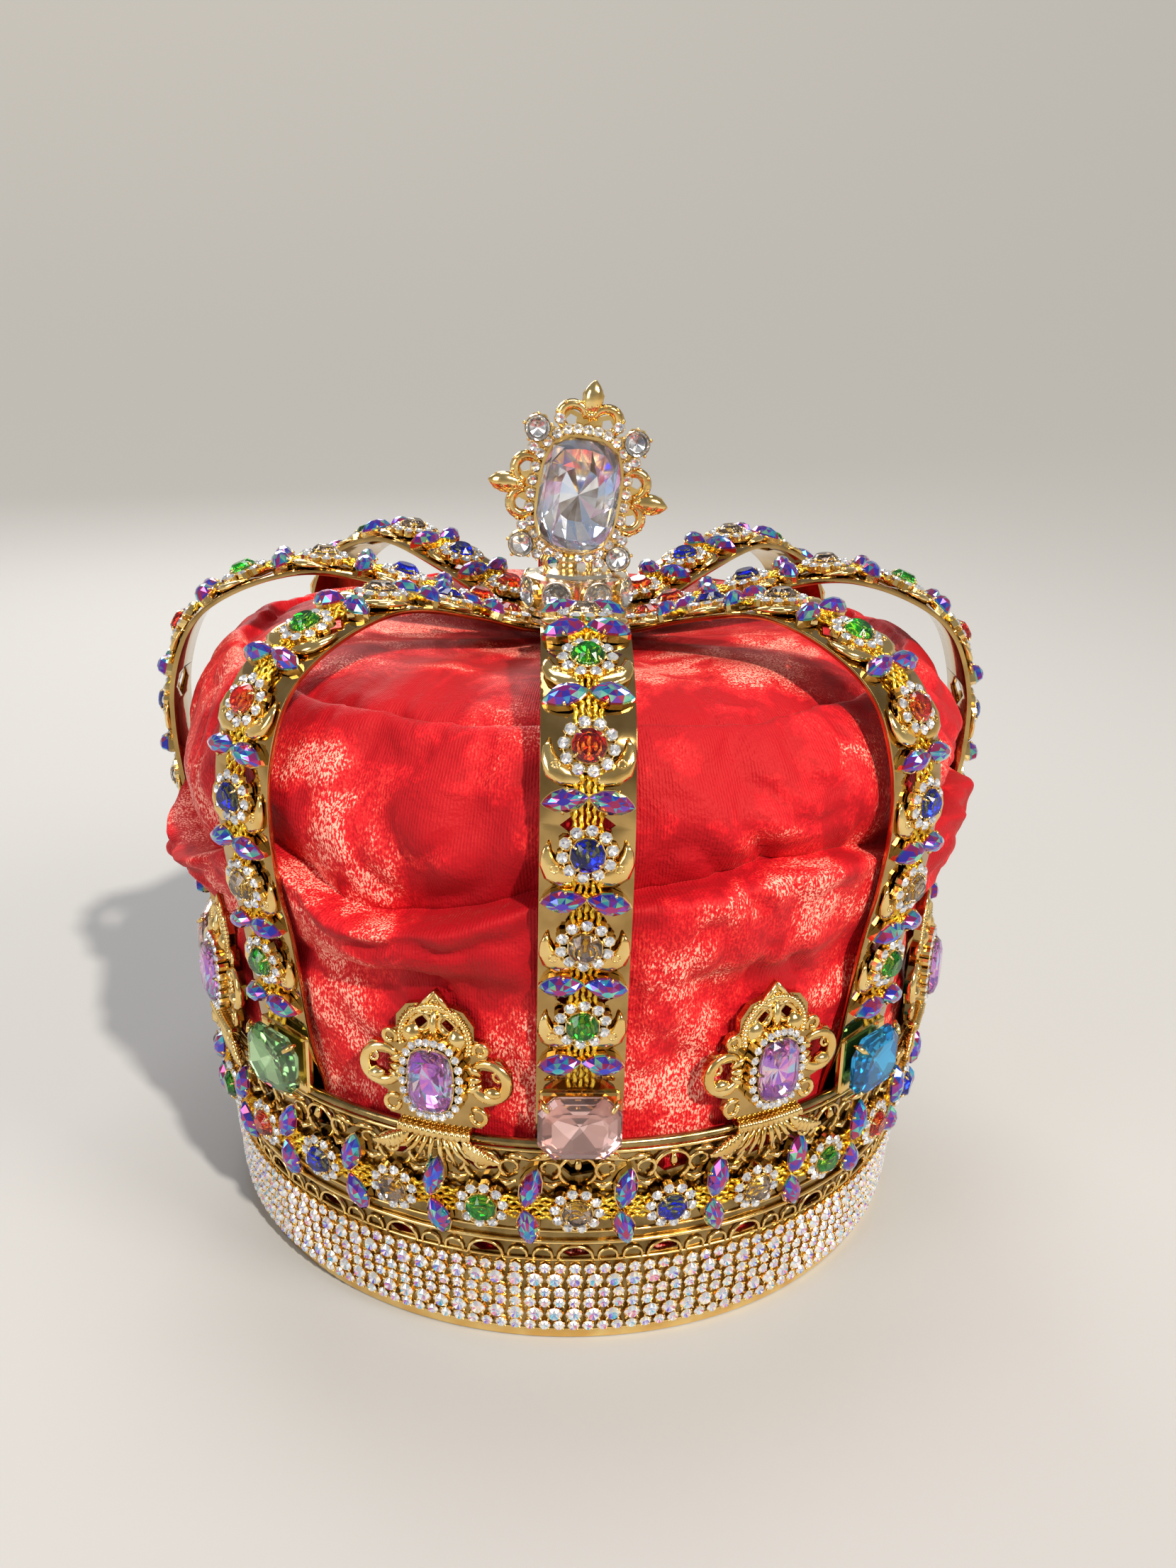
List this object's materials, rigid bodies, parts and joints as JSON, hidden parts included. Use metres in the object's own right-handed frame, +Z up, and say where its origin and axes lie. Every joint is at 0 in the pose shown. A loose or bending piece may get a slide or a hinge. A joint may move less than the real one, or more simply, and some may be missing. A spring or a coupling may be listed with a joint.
{
  "type": "imperial crown",
  "caption": "Costume imperial crown: velvet cap in a pierced gold circlet with arches, stone chains, filigree badges and a crystal cross.",
  "frame": {"origin": "centre of the rim at the surface that the crown stands on", "axes": "+Z up through the hub and the cross; -Y towards the front arch, the side that the picture shows"},
  "size_m": [0.2178, 0.2178, 0.2129],
  "materials": {
    "gold": "polished gold plate on cast and pressed metal",
    "dark_gold": "darker antique gold wire",
    "velvet": "red crushed panne velvet",
    "rhinestone": "aurora-coated rhinestones in gold cups",
    "jewel_chain": "aurora navettes and coloured round stones on gold braid",
    "foot_crystal": "pale tinted emerald-cut crystal",
    "aurora_crystal": "aurora-coated cushion-octagon crystal",
    "clear_crystal": "clear faceted crystal"
  },
  "bodies": {
    "root": {"velvet_cap": "velvet", "base_rim": "gold", "rhinestone_band": "rhinestone", "circlet": "gold", "circlet_chain": "jewel_chain", "top_rail": "dark_gold", "arch_1": "gold", "arch_2": "gold", "arch_3": "gold", "arch_4": "gold", "arch_5": "gold", "arch_6": "gold", "arch_7": "gold", "arch_8": "gold", "arch_chain_1": "jewel_chain", "arch_chain_2": "jewel_chain", "arch_chain_3": "jewel_chain", "arch_chain_4": "jewel_chain", "arch_chain_5": "jewel_chain", "arch_chain_6": "jewel_chain", "arch_chain_7": "jewel_chain", "arch_chain_8": "jewel_chain", "foot_stone_1": "foot_crystal", "foot_stone_2": "foot_crystal", "foot_stone_3": "foot_crystal", "foot_stone_4": "foot_crystal", "foot_stone_5": "foot_crystal", "foot_stone_6": "foot_crystal", "foot_stone_7": "foot_crystal", "foot_stone_8": "foot_crystal", "badge_1": "gold", "badge_2": "gold", "badge_3": "gold", "badge_4": "gold", "badge_5": "gold", "badge_6": "gold", "badge_7": "gold", "badge_8": "gold", "badge_stone_1": "aurora_crystal", "badge_stone_2": "aurora_crystal", "badge_stone_3": "aurora_crystal", "badge_stone_4": "aurora_crystal", "badge_stone_5": "aurora_crystal", "badge_stone_6": "aurora_crystal", "badge_stone_7": "aurora_crystal", "badge_stone_8": "aurora_crystal", "hub": "gold", "monde_drum": "gold", "cross_frame": "gold", "cross_stone": "clear_crystal", "cross_corner_stone_1": "clear_crystal", "cross_corner_stone_2": "clear_crystal", "cross_corner_stone_3": "clear_crystal", "cross_corner_stone_4": "clear_crystal"}
  },
  "joints": []
}
